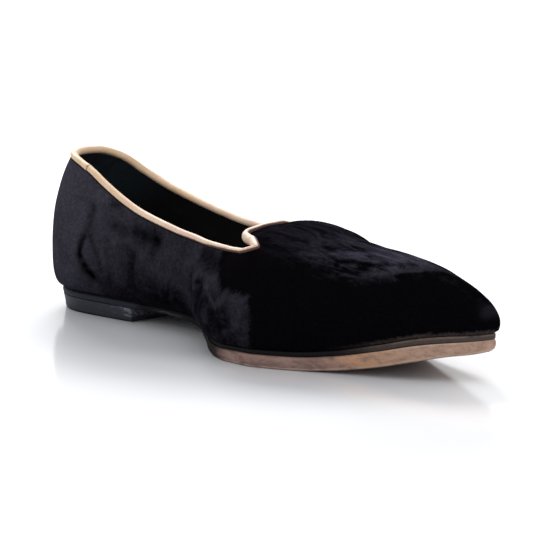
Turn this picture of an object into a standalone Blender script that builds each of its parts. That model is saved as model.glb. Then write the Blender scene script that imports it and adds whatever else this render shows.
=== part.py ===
"""Velvet loafer, left foot: a slip-on shoe on a leather sole with a low stacked heel.

Lengths are in millimetres until a mesh is made, and MM turns them into metres.
The toe points to -Y, the inner side of the foot faces -X, and the ground is z = 0.
A station s is the distance from the back of the heel towards the toe.
"""
import bpy
import numpy as np

MM = 0.001

# Driving sizes.
SHOE_LENGTH = 266.0     # over the upper, heel bulge to toe tip
HEEL_ROUND = 33.0       # length of the rounded back of the last
TOE_ROUND = 38.0        # length of the rounded front of the last
WALL = 2.0              # velvet, backing and lining together
GAP = 0.3               # clearance between neighbouring pieces
MARGIN = 3.0            # width of the upper's edge turned in under the insole
TUCK_POWER = 3.0        # squareness of the turn from the side down to the seam

WELT_WIDTH = 9.0
WELT_SETBACK = 0.9      # how far the welt stands behind the sole's edge
INSOLE_THICK = 2.6
INSOLE_SIDE = 0.5       # room between the insole's edge and the lining
INSOLE_EDGE = (         # its edge from the underside up
    # share of the tuck left outside it, further setback, share of the thickness
    (0.80, 0.0, 0.0),
    (0.48, 0.0, 0.45),
    (0.48, 0.6, 1.0),
)
SOLE_EDGE = (           # the outsole's edge from the underside up
    # setback from its widest point, share of the thickness
    (1.1, 0.0),
    (0.2, 0.2),
    (0.0, 0.6),
    (0.5, 1.0),
)

BREAST = 66.0           # station of the heel's front face
HEEL_SETBACK = 0.3      # heel block behind the sole's edge
HEEL_TAPER = 0.9        # how much the block narrows downwards
TOP_PIECE = 2.4         # thickness of the rubber top piece
TOP_PIECE_BEVEL = 0.8   # worn-in bevel round its lower edge
TOP_PIECE_ROUND = 0.4   # share of its thickness that the bevel takes
TOP_PIECE_RAISE = 1.9   # lift of its underside at the back
TOP_PIECE_RUN = 14.0    # length over which the lift fades out

PIPE_WIDE = 1.9         # half width of the piping across the wall
PIPE_HIGH = 1.5         # half height of the piping along the wall
PIPE_SIDES = 8

# Number of columns between the landmarks of one side, and rows of the upper.
HEEL_STEPS = 8
QUARTER_STEPS = 14
VAMP_STEPS = 14
TOE_STEPS = 9
TUCK_STEPS = 4
DOME_STEPS = 13
DOME_SPREAD = 1.3       # above 1 the rows stand closer together near the widest line
BISECTIONS = 40

FINISHES = {
    # colour, roughness
    "velvet": ((0.012, 0.012, 0.016), 0.85),
    "piping_leather": ((0.62, 0.43, 0.27), 0.5),
    "sock_lining": ((0.02, 0.03, 0.035), 0.7),
    "welt_leather": ((0.02, 0.02, 0.022), 0.45),
    "sole_leather": ((0.33, 0.16, 0.09), 0.45),
    "heel_paint": ((0.015, 0.016, 0.02), 0.25),
    "top_piece_rubber": ((0.02, 0.02, 0.02), 0.6),
}


class Table:
    """A short table of sections: each column is read at any station by a smooth curve with no overshoot."""

    def __init__(self, columns, rows):
        data = np.array(rows, float)
        self.stations = data[:, 0]
        self.values = {name: data[:, k + 1] for k, name in enumerate(columns)}

    def __call__(self, column, s):
        at, y = self.stations, self.values[column]
        width = np.diff(at)
        slope = np.diff(y) / width
        lean = np.zeros_like(y)
        lean[0], lean[-1] = slope[0], slope[-1]
        for k in range(1, len(at) - 1):
            before, after = slope[k - 1], slope[k]
            if before * after > 0:
                a = 2 * width[k] + width[k - 1]
                b = width[k] + 2 * width[k - 1]
                lean[k] = (a + b) / (a / before + b / after)
        s = np.clip(s, at[0], at[-1])
        k = np.clip(np.searchsorted(at, s) - 1, 0, len(at) - 2)
        t = (s - at[k]) / width[k]
        return (y[k] * (1 + 2 * t) * (1 - t) ** 2 + width[k] * lean[k] * t * (1 - t) ** 2
                + y[k + 1] * t * t * (3 - 2 * t) + width[k] * lean[k + 1] * t * t * (t - 1))


# The widest line of the last, its height, the crest above it, and the fullness of the section on each side.
LAST = Table(("inner", "outer", "ridge", "girth", "crest", "full_inner", "full_outer"), (
    (0, -27.3, 30.5, 2.0, 29.5, 88.0, 1.9, 1.9),
    (33, -27.5, 31.3, 2.0, 28.5, 86.0, 1.95, 1.95),
    (60, -26.5, 31.0, 2.0, 25.5, 80.0, 2.2, 2.2),
    (85, -25.5, 31.0, 1.8, 22.5, 67.0, 2.3, 2.3),
    (105, -26.5, 32.5, 1.0, 20.5, 57.0, 2.3, 2.3),
    (125, -36.5, 35.8, -0.8, 19.0, 50.7, 1.8, 2.2),
    (138, -45.0, 37.8, -2.4, 18.2, 50.8, 1.5, 2.1),
    (147, -48.6, 39.6, -3.4, 17.5, 53.2, 1.5, 2.1),
    (156, -50.6, 39.7, -4.2, 17.0, 55.0, 1.5, 2.1),
    (170, -50.8, 36.8, -4.0, 16.5, 53.8, 1.55, 2.05),
    (182, -47.2, 32.0, -3.8, 16.5, 51.0, 1.6, 2.0),
    (195, -41.2, 26.4, -2.9, 17.5, 49.2, 1.85, 2.1),
    (210, -34.3, 21.0, -2.2, 19.0, 48.1, 2.2, 2.2),
    (230, -26.8, 15.0, -1.0, 21.5, 45.5, 2.3, 2.3),
    (248, -20.5, 12.2, -0.5, 23.8, 42.2, 2.45, 2.45),
    (266, -15.5, 12.0, 0.0, 26.0, 40.2, 2.6, 2.6),
))

# How far the seam with the sole lies inside the widest line, and how far the sole stands out from the seam.
SEAM = Table(("tuck_inner", "tuck_outer", "project", "welt"), (
    (0, 5.0, 5.0, 0.4, 0.7),
    (60, 5.2, 5.0, 0.4, 0.7),
    (100, 6.0, 4.8, 0.3, 0.8),
    (130, 4.6, 4.0, 0.9, 1.1),
    (160, 2.4, 3.0, 1.6, 1.5),
    (200, 2.2, 2.4, 1.8, 1.9),
    (238, 2.0, 2.0, 1.9, 2.6),
    (266, 1.2, 1.2, 0.8, 2.2),
))

# The sole's underside (heel seat, arch, flat tread and toe spring) and its thickness.
SOLE = Table(("under", "thick"), (
    (0, 6.9, 2.8),
    (40, 6.7, 2.8),
    (66, 6.5, 2.8),
    (85, 6.4, 2.9),
    (102, 5.4, 3.2),
    (122, 2.6, 4.0),
    (140, 0.6, 4.8),
    (150, 0.0, 5.2),
    (190, 0.0, 5.8),
    (207, 1.3, 6.2),
    (223, 3.9, 6.7),
    (238, 7.4, 6.8),
    (252, 10.7, 5.9),
    (260, 11.9, 5.6),
    (266, 13.7, 4.5),
))

# Height of the collar's cut edge on each side.
COLLAR = Table(("inner", "outer"), (
    (0, 69.3, 69.3),
    (9, 69.3, 69.2),
    (15, 69.1, 66.0),
    (24, 68.2, 58.6),
    (36, 65.0, 53.4),
    (48, 59.6, 50.0),
    (60, 54.3, 47.1),
    (73, 49.4, 44.6),
    (87, 45.8, 42.6),
    (102, 43.0, 41.4),
    (118, 41.6, 40.8),
    (136, 42.0, 40.8),
    (148, 43.2, 41.8),
))
COLLAR_END = (147.0, 145.5)     # last collar station on the inner and the outer side

# The throat's cut edge in plan from the end of the collar to the middle of the tab:
# the narrow notch, then the tab's side, its rounded corner and its straight rear edge.
THROAT = (
    # name, inner s, inner x, outer s, outer x
    ("notch low", 153.4, -31.4, 152.4, 26.8),
    ("notch apex", 157.2, -29.1, 156.2, 24.5),
    ("notch high", 152.8, -25.6, 152.0, 21.0),
    ("tab side", 146.2, -20.6, 145.6, 16.0),
    ("tab flank", 139.6, -16.2, 139.2, 11.6),
    ("tab corner", 135.4, -13.8, 135.2, 9.2),
    ("tab rear", 135.9, -9.0, 135.7, 4.4),
)
TAB_MIDDLE = (136.6, -2.3)


def end_roundness(s):
    """0 along the straight part of the last, rising to 1 at the back of the heel and the tip of the toe."""
    heel = (HEEL_ROUND - s) / HEEL_ROUND
    toe = (s - (SHOE_LENGTH - TOE_ROUND)) / TOE_ROUND
    return np.clip(np.maximum(heel, toe), 0.0, 1.0)


def widest_line(s, side):
    """Plan position x of the widest line at a station; side is -1 on the inner side and 1 on the outer."""
    ridge = LAST("ridge", s)
    edge = LAST("inner", s) if side < 0 else LAST("outer", s)
    return ridge + (edge - ridge) * np.sqrt(1.0 - end_roundness(s) ** 2)


def nearness(x, s):
    """0 on the ridge line and 1 on the widest line."""
    ridge = LAST("ridge", s)
    across = x - ridge
    half = np.where(across < 0, ridge - LAST("inner", s), LAST("outer", s) - ridge)
    return np.sqrt((across / half) ** 2 + end_roundness(s) ** 2)


def fullness(x, s):
    """Power of the section: the inner side leans in over the ball, the outer side stays round."""
    return np.where(x < LAST("ridge", s), LAST("full_inner", s), LAST("full_outer", s))


def last_height(x, s):
    """Height of the last's closed form above its widest line."""
    girth, crest = LAST("girth", s), LAST("crest", s)
    inside = 1.0 - np.clip(nearness(x, s), 0.0, 1.0) ** fullness(x, s)
    return girth + (crest - girth) * np.sqrt(inside)


def last_normal(x, s, z):
    """Outward normal of the closed form as (x, s, z)."""
    def level(x, s, z):
        girth, crest = LAST("girth", s), LAST("crest", s)
        return nearness(x, s) ** fullness(x, s) + ((z - girth) / (crest - girth)) ** 2
    step = 0.05
    slope = np.stack([
        level(x + step, s, z) - level(x - step, s, z),
        level(x, s + step, z) - level(x, s - step, z),
        level(x, s, z + step) - level(x, s, z - step)], axis=-1)
    return slope / np.linalg.norm(slope, axis=-1, keepdims=True)


def seam_height(s):
    """Where the upper's turned edge meets the welt."""
    return SOLE("under", s) + SOLE("thick", s) + GAP + SEAM("welt", s) + GAP


def side_stations(end):
    """Stations of one side from the back of the heel to the tip of the toe, both ends included."""
    heel = HEEL_ROUND * (1.0 - np.cos(np.linspace(0.0, np.pi / 2, HEEL_STEPS + 1)))
    quarter = np.linspace(HEEL_ROUND, end, QUARTER_STEPS + 1)[1:]
    vamp = np.linspace(end, SHOE_LENGTH - TOE_ROUND, VAMP_STEPS + 1)[1:]
    toe = SHOE_LENGTH - TOE_ROUND * (1.0 - np.sin(np.linspace(0.0, np.pi / 2, TOE_STEPS + 1)[1:]))
    return np.concatenate([heel, quarter, vamp, toe])


class Rim:
    """The widest line as one closed loop: back of the heel, inner side, toe, outer side."""

    def __init__(self):
        inner, outer = side_stations(COLLAR_END[0]), side_stations(COLLAR_END[1])
        self.half = len(inner) - 1
        self.count = 2 * self.half
        self.s = np.concatenate([inner, outer[-2:0:-1]])
        self.x = np.concatenate([widest_line(inner, -1), widest_line(outer, 1)[-2:0:-1]])
        self.side = np.where(np.arange(self.count) <= self.half, -1, 1)
        plan = np.stack([self.x, self.s], axis=-1)
        along = np.roll(plan, -1, axis=0) - np.roll(plan, 1, axis=0)
        along /= np.linalg.norm(along, axis=-1, keepdims=True)
        self.out_x, self.out_s = -along[:, 1], along[:, 0]
        self.tuck = np.where(self.side < 0, SEAM("tuck_inner", self.s), SEAM("tuck_outer", self.s))
        self.project = SEAM("project", self.s)

    def offset(self, distance):
        """The loop moved outwards in plan."""
        return self.x + self.out_x * distance, self.s + self.out_s * distance


RIM = Rim()


def loop_points(x, s, z):
    return np.stack([x, s, np.broadcast_to(z, x.shape)], axis=-1)


def smooth_path(points, per_span=16):
    """Dense centripetal curve through plan points, from the second to the last but one."""
    points = np.array(points, float)
    out = []
    for a, b, c, d in zip(points, points[1:], points[2:], points[3:]):
        t1 = np.linalg.norm(b - a) ** 0.5
        t2 = t1 + np.linalg.norm(c - b) ** 0.5
        t3 = t2 + np.linalg.norm(d - c) ** 0.5
        t = np.linspace(t1, t2, per_span, endpoint=False)[:, None]
        ab = a * (t1 - t) / t1 + b * t / t1
        bc = b * (t2 - t) / (t2 - t1) + c * (t - t1) / (t2 - t1)
        cd = c * (t3 - t) / (t3 - t2) + d * (t - t2) / (t3 - t2)
        abc = ab * (t2 - t) / t2 + bc * t / t2
        bcd = bc * (t3 - t) / (t3 - t1) + cd * (t - t1) / (t3 - t1)
        out.append(abc * (t2 - t) / (t2 - t1) + bcd * (t - t1) / (t2 - t1))
    out.append(points[-2:-1])
    return np.concatenate(out)


def collar_edge(index):
    """Plan point of the collar's cut edge above one point of the widest line."""
    x0, s0 = RIM.x[index], RIM.s[index]
    column = "inner" if RIM.side[index] < 0 else "outer"
    core_s = max(s0, HEEL_ROUND)
    core_x = LAST("ridge", core_s)
    low, high = 0.0, 1.0
    for _ in range(BISECTIONS):
        middle = (low + high) / 2
        x, s = x0 + (core_x - x0) * middle, s0 + (core_s - s0) * middle
        if last_height(x, s) < COLLAR(column, s):
            low = middle
        else:
            high = middle
    return np.array([x0 + (core_x - x0) * low, s0 + (core_s - s0) * low])


def column_paths():
    """Plan path of every column of the upper, from the widest line to the cut edge."""
    half, count = RIM.half, RIM.count
    collar = HEEL_STEPS + QUARTER_STEPS
    paths = [None] * count
    for k in list(range(collar + 1)) + list(range(count - collar, count)):
        start = np.array([RIM.x[k], RIM.s[k]])
        paths[k] = np.array([start, collar_edge(k)])
    inner = [np.array([row[2], row[1]]) for row in THROAT]
    outer = [np.array([row[4], row[3]]) for row in THROAT]
    ends = paths[collar][-1], paths[count - collar][-1]
    before, after = paths[collar - 1][-1], paths[count - collar + 1][-1]
    middle = np.array([TAB_MIDDLE[1], TAB_MIDDLE[0]])
    controls = [before, ends[0]] + inner + [middle] + outer[::-1] + [ends[1], after]
    edge = smooth_path(controls)
    run = np.concatenate([[0.0], np.cumsum(np.linalg.norm(np.diff(edge, axis=0), axis=1))])
    share = run / run[-1]
    apex = [share[np.argmin(np.linalg.norm(edge - p, axis=1))] for p in (inner[1], outer[1])]
    steps = count - 2 * collar
    for j in range(1, steps):
        k = collar + j
        w = j / steps
        target = np.array([np.interp(w, share, edge[:, 0]), np.interp(w, share, edge[:, 1])])
        start = np.array([RIM.x[k], RIM.s[k]])
        if apex[0] < w < apex[1]:
            across = (w - apex[0]) / (apex[1] - apex[0])
            waypoint = inner[1] + (outer[1] - inner[1]) * across
            paths[k] = np.array([start, waypoint, target])
        else:
            paths[k] = np.array([start, target])
    return paths


def dome_column(path, steps):
    """Points up one column of the closed form, closer together where it leaves the widest line."""
    runs = np.linalg.norm(np.diff(path, axis=0), axis=1)
    at = np.concatenate([[0.0], np.cumsum(runs)]) / runs.sum()
    fine = np.linspace(0.0, 1.0, 161) ** 2
    x, s = np.interp(fine, at, path[:, 0]), np.interp(fine, at, path[:, 1])
    z = last_height(x, s)
    z[0] = LAST("girth", s[0])
    dense = np.stack([x, s, z], axis=-1)
    run = np.concatenate([[0.0], np.cumsum(np.linalg.norm(np.diff(dense, axis=0), axis=1))])
    want = run[-1] * np.linspace(0.0, 1.0, steps + 1) ** DOME_SPREAD
    return np.stack([np.interp(want, run, dense[:, k]) for k in range(3)], axis=-1)


def tuck_rows(inset, rise):
    """Rows from the turned-in edge out to the seam and up to just under the widest line."""
    girth = LAST("girth", RIM.s)
    x, s = RIM.offset(-RIM.tuck - WALL - MARGIN)
    rows = [loop_points(x, s, seam_height(s) + rise)]
    for k in range(TUCK_STEPS):
        angle = np.pi / 2 * (1.0 - k / TUCK_STEPS)
        drop = np.sin(angle) ** (2.0 / TUCK_POWER)
        outward = np.cos(angle) ** (2.0 / TUCK_POWER)
        x, s = RIM.offset(-inset - RIM.tuck * (1.0 - outward))
        rows.append(loop_points(x, s, girth - (girth - seam_height(s) - rise) * drop))
    return rows


def upper_shell():
    """Outer and inner grids of the upper, rows from the turned-in edge to the cut edge."""
    columns = [dome_column(path, DOME_STEPS) for path in column_paths()]
    dome = np.stack(columns, axis=1)
    normal = last_normal(dome[..., 0], dome[..., 1], dome[..., 2])
    lining = dome - normal * WALL
    outer = np.concatenate([np.stack(tuck_rows(0.0, 0.0)), dome])
    inner = np.concatenate([np.stack(tuck_rows(WALL, WALL)), lining])
    return outer, inner, normal


def to_world(points):
    """From (x, s, z) in millimetres to metres, with the origin under the middle of the shoe."""
    points = np.asarray(points, float)
    return np.stack([points[..., 0] - CENTRE_X, CENTRE_S - points[..., 1], points[..., 2]], axis=-1) * MM


CENTRE_X = (RIM.x.min() + RIM.x.max()) / 2
CENTRE_S = (RIM.s.min() + RIM.s.max()) / 2


def material(name):
    colour, roughness = FINISHES[name]
    made = bpy.data.materials.new(name)
    made.use_nodes = True
    shader = made.node_tree.nodes["Principled BSDF"]
    shader.inputs["Base Color"].default_value = (*colour, 1.0)
    shader.inputs["Roughness"].default_value = roughness
    shader.inputs["Metallic"].default_value = 0.0
    made.diffuse_color = (*colour, 1.0)
    return made


def add_object(name, points, faces, finish, sharp_angle=50.0):
    mesh = bpy.data.meshes.new(name)
    mesh.from_pydata([tuple(p) for p in to_world(points)], [], faces)
    mesh.validate()
    mesh.materials.append(material(finish))
    mesh.shade_smooth()
    mesh.set_sharp_from_angle(angle=np.radians(sharp_angle))
    made = bpy.data.objects.new(name, mesh)
    bpy.context.scene.collection.objects.link(made)
    return made


def band_faces(first, second, count, flip=False):
    """Quads between two closed loops of points that start at the given indices."""
    faces = []
    for k in range(count):
        n = (k + 1) % count
        quad = (first + k, first + n, second + n, second + k)
        faces.append(quad[::-1] if flip else quad)
    return faces


def cap_faces(first, count, flip=False):
    """Strips across a closed loop that starts at a tip, pairing the points of its two sides."""
    faces = [(first, first + 1, first + count - 1)]
    half = count // 2
    for k in range(1, half):
        strip = [first + k, first + k + 1, first + count - k - 1, first + count - k]
        if k + 1 == count - k - 1:
            strip.pop(2)
        faces.append(tuple(strip))
    return [f[::-1] for f in faces] if flip else faces


def stacked_solid(name, loops, finish):
    """Closed solid from loops that run from the underside up to the top."""
    count = len(loops[0])
    faces = cap_faces(0, count, flip=True)
    for k in range(len(loops) - 1):
        faces += band_faces(k * count, (k + 1) * count, count)
    faces += cap_faces((len(loops) - 1) * count, count)
    return add_object(name, np.concatenate(loops), faces, finish)


def ring_solid(name, loops, finish, sharp_angle=50.0):
    """Closed ring from loops that go once round its section."""
    count = len(loops[0])
    faces = []
    for k in range(len(loops)):
        faces += band_faces(k * count, (k + 1) % len(loops) * count, count)
    return add_object(name, np.concatenate(loops), faces, finish, sharp_angle)


def make_upper(outer, inner):
    loops = list(outer) + list(inner[::-1])
    return ring_solid("upper", loops, "velvet", sharp_angle=40.0)


def make_piping(outer, inner, normal):
    """A rolled bead that stands on the cut edge all round."""
    edge, below = outer[-1], outer[-2]
    middle = (outer[-1] + inner[-1]) / 2
    along = np.roll(edge, -1, axis=0) - np.roll(edge, 1, axis=0)
    out = normal[-1]
    up = np.cross(along, out)
    up /= np.linalg.norm(up, axis=-1, keepdims=True)
    up *= np.sign(np.sum(up * (edge - below), axis=-1, keepdims=True))
    centre = middle + up * (GAP + PIPE_HIGH)
    loops = []
    for k in range(PIPE_SIDES):
        angle = 2 * np.pi * (k + 0.5) / PIPE_SIDES
        loops.append(centre + out * PIPE_WIDE * np.cos(angle) + up * PIPE_HIGH * np.sin(angle))
    return ring_solid("topline_piping", loops, "piping_leather", sharp_angle=80.0)


def make_insole():
    loops = []
    for tuck_left, setback, share in INSOLE_EDGE:
        x, s = RIM.offset(-RIM.tuck * tuck_left - WALL - INSOLE_SIDE - setback)
        loops.append(loop_points(x, s, seam_height(s) + WALL + GAP + INSOLE_THICK * share))
    return stacked_solid("insole", loops, "sock_lining")


def make_welt():
    out = RIM.project - RIM.tuck - WELT_SETBACK
    loops = []
    for offset, share in ((out, 0.0), (out, 1.0), (out - WELT_WIDTH, 1.0), (out - WELT_WIDTH, 0.0)):
        x, s = RIM.offset(offset)
        loops.append(loop_points(x, s, seam_height(s) - GAP - SEAM("welt", s) * share))
    return ring_solid("welt", loops[::-1], "welt_leather")


def make_outsole():
    loops = []
    for setback, share in SOLE_EDGE:
        x, s = RIM.offset(RIM.project - RIM.tuck - setback)
        loops.append(loop_points(x, s, SOLE("under", s) + SOLE("thick", s) * share))
    return stacked_solid("outsole", loops, "sole_leather")


def heel_loop(setback, z_of):
    """Plan loop of the heel: round the back, up both sides and straight across its breast."""
    steps = int(np.searchsorted(RIM.s[:RIM.half], BREAST))
    keep = np.concatenate([np.arange(steps + 1), np.arange(RIM.count - steps, RIM.count)])
    x, s = RIM.offset(RIM.project - RIM.tuck - HEEL_SETBACK - setback)
    x, s = x[keep], s[keep]
    s = np.minimum(s, BREAST - setback)
    for k in (steps, steps + 1):
        s[k] = BREAST - setback
    return loop_points(x, s, z_of(s))


def make_heel_block():
    low = heel_loop(HEEL_TAPER, lambda s: np.full_like(s, TOP_PIECE + GAP))
    top = heel_loop(0.0, lambda s: SOLE("under", s) - GAP)
    return stacked_solid("heel_block", [low, top], "heel_paint")


def make_top_piece():
    """Flat on the ground, with its back edge lifted a little as on every walked-in heel."""
    def lift(s):
        return TOP_PIECE_RAISE * np.clip(1.0 - (s - s.min()) / TOP_PIECE_RUN, 0.0, 1.0) ** 2
    ground = heel_loop(HEEL_TAPER + TOP_PIECE_BEVEL, lift)
    edge = heel_loop(HEEL_TAPER, lambda s: lift(s) + TOP_PIECE_ROUND * (TOP_PIECE - lift(s)))
    top = heel_loop(HEEL_TAPER, lambda s: np.full_like(s, TOP_PIECE))
    return stacked_solid("heel_top_piece", [ground, edge, top], "top_piece_rubber")


def main():
    for old in list(bpy.data.objects):
        bpy.data.objects.remove(old)
    outer, inner, normal = upper_shell()
    make_upper(outer, inner)
    make_piping(outer, inner, normal)
    make_insole()
    make_welt()
    make_outsole()
    make_heel_block()
    make_top_piece()


main()
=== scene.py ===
import bpy
import numpy as np
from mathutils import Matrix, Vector


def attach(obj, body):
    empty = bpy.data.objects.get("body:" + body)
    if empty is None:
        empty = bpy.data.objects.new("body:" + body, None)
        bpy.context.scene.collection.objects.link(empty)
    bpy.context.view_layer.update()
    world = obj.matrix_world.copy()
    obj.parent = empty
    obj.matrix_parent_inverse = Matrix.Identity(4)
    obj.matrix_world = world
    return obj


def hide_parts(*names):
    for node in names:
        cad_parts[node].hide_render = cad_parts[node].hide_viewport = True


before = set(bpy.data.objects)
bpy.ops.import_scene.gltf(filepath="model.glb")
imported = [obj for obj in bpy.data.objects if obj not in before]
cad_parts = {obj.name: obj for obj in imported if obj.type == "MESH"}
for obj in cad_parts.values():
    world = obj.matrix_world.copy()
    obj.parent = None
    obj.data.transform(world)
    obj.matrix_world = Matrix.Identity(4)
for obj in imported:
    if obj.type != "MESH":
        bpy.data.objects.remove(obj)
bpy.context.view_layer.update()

mm = 0.001

# Sizes in millimetres. A station s runs from the back of the heel to the tip of the toe, x towards the
# outer side of this left shoe and z up from the ground.
shoe = {
    "length": 266.0,
    "heelRound": 33.0,       # length of the rounded back of the last
    "toeRound": 38.0,        # length of the rounded front of the last
    "wall": 2.0,             # velvet and lining together
    "velvet": 1.1,           # velvet and its backing alone
    "gap": 0.3,              # room between neighbouring pieces
    "margin": 3.0,           # edge of the upper turned in under the insole
    "tuckPower": 3.0,        # squareness of the turn from the side down to the seam
    "heelColumns": 8,        # columns between the landmarks of one side, times a piece's fineness
    "quarterColumns": 14,
    "vampColumns": 14,
    "toeColumns": 9,
    "domeSpread": 1.3,       # above 1 the rows stand closer together near the widest line
    "domeSteps": 241,        # points of a column before its rows are spaced out
    "bisections": 40,
}


class Sections:
    # a short table of sections, read at any station by a smooth curve with no overshoot
    def __init__(self, columns, rows):
        data = np.array(rows, float)
        self.at = data[:, 0]
        self.values = {name: data[:, k + 1] for k, name in enumerate(columns)}

    def __call__(self, column, s):
        at, y = self.at, self.values[column]
        width = np.diff(at)
        slope = np.diff(y) / width
        lean = np.zeros_like(y)
        lean[0], lean[-1] = slope[0], slope[-1]
        for k in range(1, len(at) - 1):
            before, after = slope[k - 1], slope[k]
            if before * after > 0:
                a = 2 * width[k] + width[k - 1]
                b = width[k] + 2 * width[k - 1]
                lean[k] = (a + b) / (a / before + b / after)
        s = np.clip(s, at[0], at[-1])
        k = np.clip(np.searchsorted(at, s) - 1, 0, len(at) - 2)
        t = (s - at[k]) / width[k]
        return (y[k] * (1 + 2 * t) * (1 - t) ** 2 + width[k] * lean[k] * t * (1 - t) ** 2
                + y[k + 1] * t * t * (3 - 2 * t) + width[k] * lean[k + 1] * t * t * (t - 1))


lastShape = Sections(("inner", "outer", "ridge", "girth", "crest", "fullInner", "fullOuter"), (
    (0, -27.3, 30.5, 2.0, 29.5, 88.0, 1.9, 1.9),
    (33, -27.5, 31.3, 2.0, 28.5, 86.0, 1.95, 1.95),
    (60, -26.5, 31.0, 2.0, 25.5, 80.0, 2.2, 2.2),
    (85, -25.5, 31.0, 1.8, 22.5, 67.0, 2.3, 2.3),
    (105, -26.5, 32.5, 1.0, 20.5, 57.0, 2.3, 2.3),
    (125, -36.5, 35.8, -0.8, 19.0, 50.7, 1.8, 2.2),
    (138, -45.0, 37.8, -2.4, 18.2, 50.8, 1.5, 2.1),
    (147, -48.6, 39.6, -3.4, 17.5, 53.2, 1.5, 2.1),
    (156, -50.6, 39.7, -4.2, 17.0, 55.0, 1.5, 2.1),
    (170, -50.8, 36.8, -4.0, 16.5, 53.8, 1.55, 2.05),
    (182, -47.2, 32.0, -3.8, 16.5, 51.0, 1.6, 2.0),
    (195, -41.2, 26.4, -2.9, 17.5, 49.2, 1.85, 2.1),
    (210, -34.3, 21.0, -2.2, 19.0, 48.1, 2.2, 2.2),
    (230, -26.8, 15.0, -1.0, 21.5, 45.5, 2.3, 2.3),
    (248, -20.5, 12.2, -0.5, 23.8, 42.2, 2.45, 2.45),
    (266, -15.5, 12.0, 0.0, 26.0, 40.2, 2.6, 2.6),
))
seamShape = Sections(("tuckInner", "tuckOuter", "project", "welt"), (
    (0, 5.0, 5.0, 0.4, 0.7),
    (60, 5.2, 5.0, 0.4, 0.7),
    (100, 6.0, 4.8, 0.3, 0.8),
    (130, 4.6, 4.0, 0.9, 1.1),
    (160, 2.4, 3.0, 1.6, 1.5),
    (200, 2.2, 2.4, 1.8, 1.9),
    (238, 2.0, 2.0, 1.9, 2.6),
    (266, 1.2, 1.2, 0.8, 2.2),
))
soleShape = Sections(("under", "thick"), (
    (0, 6.9, 2.8),
    (40, 6.7, 2.8),
    (66, 6.5, 2.8),
    (85, 6.4, 2.9),
    (102, 5.4, 3.2),
    (122, 2.6, 4.0),
    (140, 0.6, 4.8),
    (150, 0.0, 5.2),
    (190, 0.0, 5.8),
    (207, 1.3, 6.2),
    (223, 3.9, 6.7),
    (238, 7.4, 6.8),
    (252, 10.7, 5.9),
    (260, 11.9, 5.6),
    (266, 13.7, 4.5),
))
collarShape = Sections(("inner", "outer"), (
    (0, 69.3, 69.3),
    (9, 69.3, 69.2),
    (15, 69.1, 66.0),
    (24, 68.2, 58.6),
    (36, 65.0, 53.4),
    (48, 59.6, 50.0),
    (60, 54.3, 47.1),
    (73, 49.4, 44.6),
    (87, 45.8, 42.6),
    (102, 43.0, 41.4),
    (118, 41.6, 40.8),
    (136, 42.0, 40.8),
    (148, 43.2, 41.8),
))
collarEnd = {"inner": 147.0, "outer": 145.5}
# cut edge of the throat in plan as (x, s): notch low, apex and high, tab side, flank, corner and rear
throatInner = ((-31.4, 153.4), (-29.1, 157.2), (-25.6, 152.8), (-20.6, 146.2), (-16.2, 139.6),
               (-13.8, 135.4), (-9.0, 135.9))
throatOuter = ((26.8, 152.4), (24.5, 156.2), (21.0, 152.0), (16.0, 145.6), (11.6, 139.2),
               (9.2, 135.2), (4.4, 135.7))
throatApex = 1               # which of these points is the apex of its notch
throatFlank = slice(2, 6)    # and which run along the side of the tab
tabMiddle = (-2.3, 136.6)


def unit(value):    # kept between 0 and 1
    return np.clip(value, 0.0, 1.0)


def endRoundness(s):
    heel = (shoe["heelRound"] - s) / shoe["heelRound"]
    toe = (s - (shoe["length"] - shoe["toeRound"])) / shoe["toeRound"]
    return unit(np.maximum(heel, toe))


def widestLine(s, side):
    ridge = lastShape("ridge", s)
    edge = lastShape("inner", s) if side < 0 else lastShape("outer", s)
    return ridge + (edge - ridge) * np.sqrt(1.0 - endRoundness(s) ** 2)


def nearness(x, s):    # 0 on the ridge line, 1 on the widest line
    ridge = lastShape("ridge", s)
    across = x - ridge
    half = np.where(across < 0, ridge - lastShape("inner", s), lastShape("outer", s) - ridge)
    return np.sqrt((across / half) ** 2 + endRoundness(s) ** 2)


def fullness(x, s):    # the inner side leans in over the ball, the outer side stays round
    return np.where(x < lastShape("ridge", s), lastShape("fullInner", s), lastShape("fullOuter", s))


def lastHeight(x, s):
    girth, crest = lastShape("girth", s), lastShape("crest", s)
    inside = 1.0 - unit(nearness(x, s)) ** fullness(x, s)
    return girth + (crest - girth) * np.sqrt(inside)


def lastNormal(x, s, z, step=0.05):
    def level(x, s, z):
        girth, crest = lastShape("girth", s), lastShape("crest", s)
        return nearness(x, s) ** fullness(x, s) + ((z - girth) / (crest - girth)) ** 2
    slope = np.stack([
        level(x + step, s, z) - level(x - step, s, z),
        level(x, s + step, z) - level(x, s - step, z),
        level(x, s, z + step) - level(x, s, z - step)], axis=-1)
    return slope / np.linalg.norm(slope, axis=-1, keepdims=True)


def seamHeight(s):
    return soleShape("under", s) + soleShape("thick", s) + 2 * shoe["gap"] + seamShape("welt", s)


def sideStations(end, fine):
    heelRound, toeStart = shoe["heelRound"], shoe["length"] - shoe["toeRound"]
    heel = heelRound * (1.0 - np.cos(np.linspace(0.0, np.pi / 2, shoe["heelColumns"] * fine + 1)))
    quarter = np.linspace(heelRound, end, shoe["quarterColumns"] * fine + 1)[1:]
    vamp = np.linspace(end, toeStart, shoe["vampColumns"] * fine + 1)[1:]
    toeTurn = np.linspace(0.0, np.pi / 2, shoe["toeColumns"] * fine + 1)[1:]
    toe = toeStart + shoe["toeRound"] * np.sin(toeTurn)
    return np.concatenate([heel, quarter, vamp, toe])


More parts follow.
